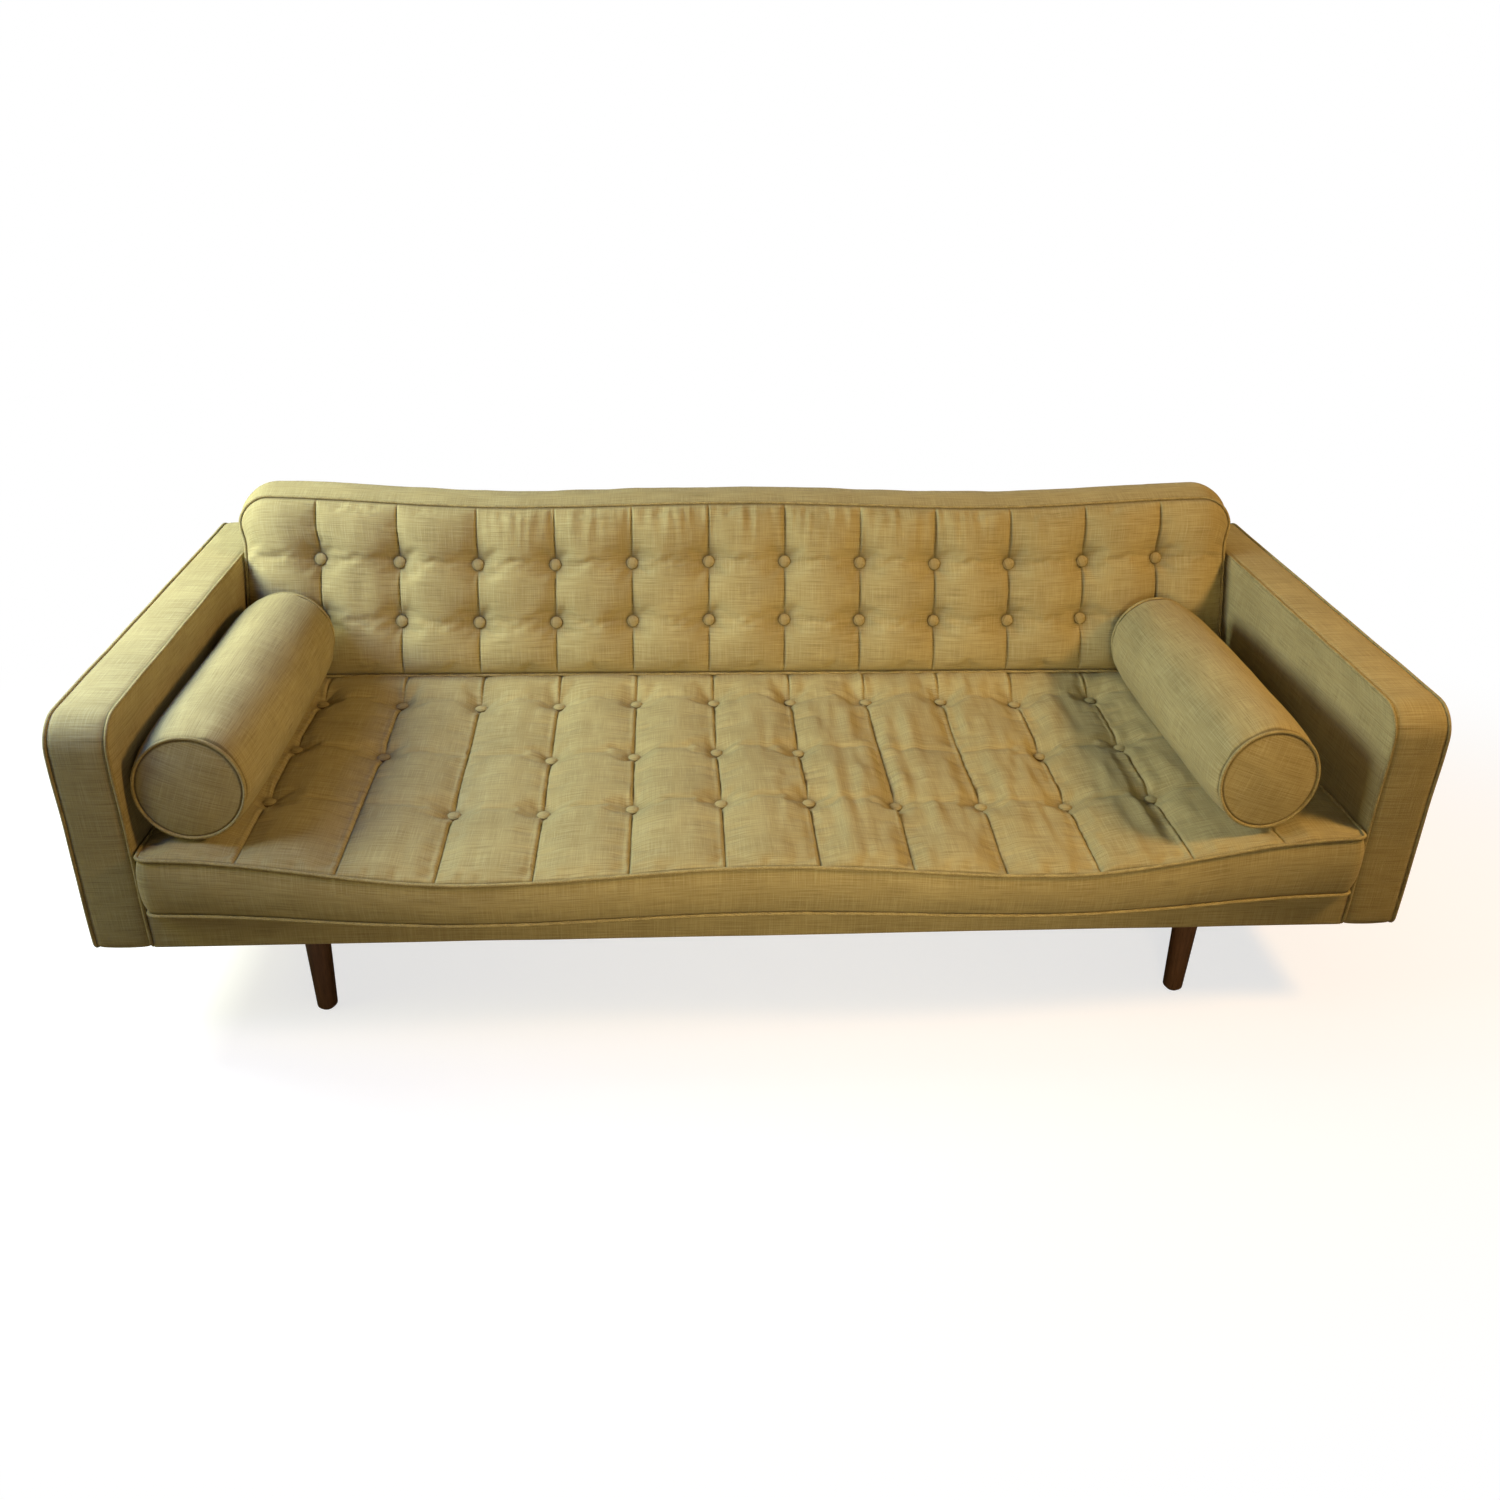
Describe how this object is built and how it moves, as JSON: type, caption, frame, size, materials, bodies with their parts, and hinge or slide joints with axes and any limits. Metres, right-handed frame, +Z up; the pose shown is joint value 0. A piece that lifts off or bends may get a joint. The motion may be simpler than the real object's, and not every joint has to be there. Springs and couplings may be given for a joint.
{
  "type": "sofa",
  "caption": "Long upholstered sofa with box arms, channelled and buttoned seat and back cushions, round bolsters and tapered round wooden legs.",
  "frame": {"origin": "on the floor under the middle of the sofa's bounding box", "axes": "+X along the sofa, to the right as seen from the front, +Y from the front to the back, +Z up"},
  "size_m": [2.234, 0.9944, 0.745],
  "materials": {
    "linen": "matt slubbed linen weave, khaki gold",
    "linen_piping": "the same linen sewn over cord",
    "walnut": "dark stained, satin lacquer",
    "beech": "bare planed timber",
    "webbing": "woven straps",
    "lining": "thin black lining cloth",
    "steel": "plain steel",
    "nylon": "dark moulded glide"
  },
  "bodies": {
    "frame": {"arm_bottom_rail_left": "beech", "arm_bottom_rail_right": "beech", "arm_cover_left": "linen", "arm_cover_right": "linen", "arm_front_post_left": "beech", "arm_front_post_right": "beech", "arm_inner_welt_left": "linen_piping", "arm_inner_welt_right": "linen_piping", "arm_outer_welt_left": "linen_piping", "arm_outer_welt_right": "linen_piping", "arm_rear_post_left": "beech", "arm_rear_post_right": "beech", "arm_top_rail_left": "beech", "arm_top_rail_right": "beech", "back_cover": "linen", "back_post_left": "beech", "back_post_middle": "beech", "back_post_right": "beech", "back_rail": "beech", "back_top_rail": "beech", "back_webbing": "webbing", "dust_cover": "lining", "end_rail_left": "beech", "end_rail_right": "beech", "front_rail": "beech", "front_rail_cover": "linen", "leg_block_front_left": "beech", "leg_block_front_right": "beech", "leg_block_rear_left": "beech", "leg_block_rear_right": "beech", "leg_bolt_front_left": "steel", "leg_bolt_front_right": "steel", "leg_bolt_rear_left": "steel", "leg_bolt_rear_right": "steel", "leg_front_left": "walnut", "leg_front_right": "walnut", "leg_glide_front_left": "nylon", "leg_glide_front_right": "nylon", "leg_glide_rear_left": "nylon", "leg_glide_rear_right": "nylon", "leg_rear_left": "walnut", "leg_rear_right": "walnut", "seat_deck": "linen", "seat_webbing": "webbing", "stretcher_left": "beech", "stretcher_middle": "beech", "stretcher_right": "beech"},
    "seat_cushion": {"seat_cushion": "linen", "seat_welt_bottom": "linen_piping", "seat_welt_top": "linen_piping"},
    "back_cushion": {"back_cushion": "linen", "back_welt_front": "linen_piping", "back_welt_rear": "linen_piping"},
    "bolster_left": {"bolster_left": "linen", "bolster_welt_left_front": "linen_piping", "bolster_welt_left_rear": "linen_piping"},
    "bolster_right": {"bolster_right": "linen", "bolster_welt_right_front": "linen_piping", "bolster_welt_right_rear": "linen_piping"}
  },
  "joints": [
    {"name": "seat_cushion_lift", "type": "slide", "parent": "frame", "child": "seat_cushion", "axis": [0, 0, 1], "range_m": [0, 0.4]},
    {"name": "back_cushion_lift", "type": "slide", "parent": "seat_cushion", "child": "back_cushion", "axis": [0, 0.2865, 0.9581], "range_m": [0, 0.28]},
    {"name": "bolster_left_lift", "type": "slide", "parent": "seat_cushion", "child": "bolster_left", "axis": [0, 0, 1], "range_m": [0, 0.26]},
    {"name": "bolster_right_lift", "type": "slide", "parent": "seat_cushion", "child": "bolster_right", "axis": [0, 0, 1], "range_m": [0, 0.26]}
  ]
}
